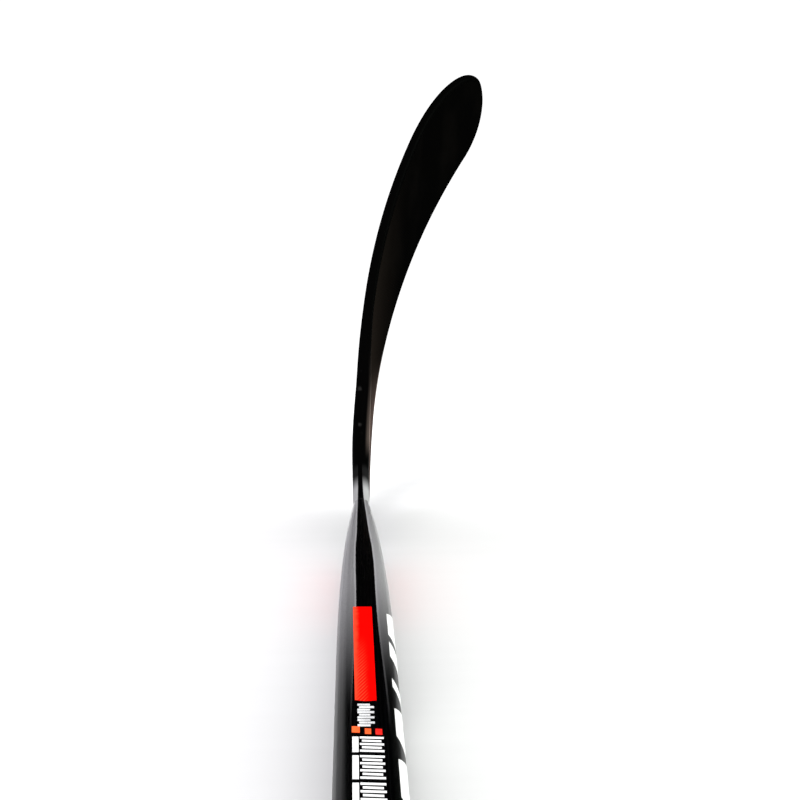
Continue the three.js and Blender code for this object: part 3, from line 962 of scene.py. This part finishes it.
def add_sun(name, azimuth, elevation, spread, strength, colour):
    """A soft box far away, seen from the stick at an azimuth from +X towards +Y. Angles in degrees."""
    data = bpy.data.lights.new(name, "SUN")
    data.angle = math.radians(spread)
    data.energy = strength
    data.color = colour
    light = bpy.data.objects.new(name, data)
    azimuth, elevation = math.radians(azimuth), math.radians(elevation)
    level = math.cos(elevation)
    towards = Vector((level * math.cos(azimuth), level * math.sin(azimuth), math.sin(elevation)))
    light.rotation_euler = towards.to_track_quat("Z", "Y").to_euler()
    bpy.context.scene.collection.objects.link(light)


def white_dome():
    """An even white surround, which lights the scene but isn't mirrored in gloss."""
    world = bpy.data.worlds.new("studio")
    world.use_nodes = True
    tree = world.node_tree
    background = tree.nodes["Background"]
    background.inputs["Color"].default_value = (1, 1, 1, 1)
    strength = tree.nodes.new("ShaderNodeMapRange")
    strength.inputs["To Min"].default_value = 1.55  # as light
    strength.inputs["To Max"].default_value = 1.1  # as the camera sees it
    tree.links.new(tree.nodes.new("ShaderNodeLightPath").outputs["Is Camera Ray"], strength.inputs["Value"])
    tree.links.new(strength.outputs[0], background.inputs["Strength"])
    bpy.context.scene.world = world
    world.cycles_visibility.glossy = False


def far_pool():
    """A pool of light on the floor behind the neck."""
    data = bpy.data.lights.new("far_pool", "SPOT")
    data.energy = 24
    data.spot_size = math.radians(44)
    data.spot_blend = 0.2
    data.shadow_soft_size = 0.06
    pool = bpy.data.objects.new("far_pool", data)
    pool.location = (0.04, NECK_Y + 0.46, 1)
    pool.visible_glossy = False
    bpy.context.scene.collection.objects.link(pool)


def build_lights():
    """A white dome, low boxes at the left and right, weak ones behind the blade and the camera."""
    white_dome()
    add_sun("left_low_box", 180, 14, 14, 1.3, (0.83, 0.78, 1))
    add_sun("right_low_box", 0, 14, 14, 0.8, (0.82, 1, 0.84))
    add_sun("left_far_box", 112, 10, 20, 0.08, (1, 1, 1))
    add_sun("left_back_box", 235, 45, 40, 0.3, (1, 1, 1))
    add_sun("right_back_box", 305, 50, 40, 0.2, (1, 1, 1))
    far_pool()
    bpy.context.scene.view_settings.view_transform = "Standard"


def build_camera():
    """The view along the shaft from over the butt's side, looking down a little."""
    data = bpy.data.cameras.new("camera")
    data.lens, data.sensor_width = CAMERA_LENS, 36
    data.clip_start = 0.02
    camera = bpy.data.objects.new("camera", data)
    yaw, pitch, roll = (math.radians(angle) for angle in (CAMERA_YAW, CAMERA_PITCH, CAMERA_ROLL))
    ahead = Vector((math.sin(yaw) * math.cos(pitch), math.cos(yaw) * math.cos(pitch), -math.sin(pitch)))
    level = ahead.cross(Vector((0, 0, 1))).normalized()
    upright = level.cross(ahead)
    right = level * math.cos(roll) + upright * math.sin(roll)
    up = upright * math.cos(roll) - level * math.sin(roll)
    turn = Matrix((right, up, -ahead)).transposed().to_4x4()
    camera.matrix_world = Matrix.Translation(CAMERA_PLACE + Vector((0, NECK_Y, 0))) @ turn
    bpy.context.scene.collection.objects.link(camera)
    bpy.context.scene.camera = camera


def dress_inner_nodes():
    """Materials for the CAD pieces that stay as they are, inside the blade and the neck."""
    laminate, foam, adhesive = bore_material(), foam_material(), adhesive_material()
    inner = {"blade_rib": laminate, "hosel_tenon": laminate, "tenon_bond": adhesive}
    inner |= {"lower_core": foam, "upper_core": foam}
    for node, material in inner.items():
        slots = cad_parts[node].data.materials
        slots.clear()
        slots.append(material)


build_camera()
build_stage()
build_lights()
shaft_shell(shaft_material(), bore_material())
blade_rail(rail_material())
blade_faces(blade_material())
butt_plug(plug_material())
white_ink = print_material("white_ink", (0.72, 0.72, 0.71, 1), (0.9, 0.9, 0.9, 1))
tint_ink = print_material("tint_ink", (0.34, 0.34, 0.35, 1), (0.85, 0.85, 0.86, 1))
orange_ink = print_material("orange_ink", (0.86, 0.05, 0.01, 1), (0.95, 0.13, 0.02, 1))
red_ink = print_material("red_ink", (0.8, 0.004, 0.002, 1), (0.92, 0.012, 0.005, 1))
flash_print(flash_material())
ladder_prints(white_ink, tint_ink, orange_ink, red_ink)
side_prints(white_ink, red_ink)
dress_inner_nodes()
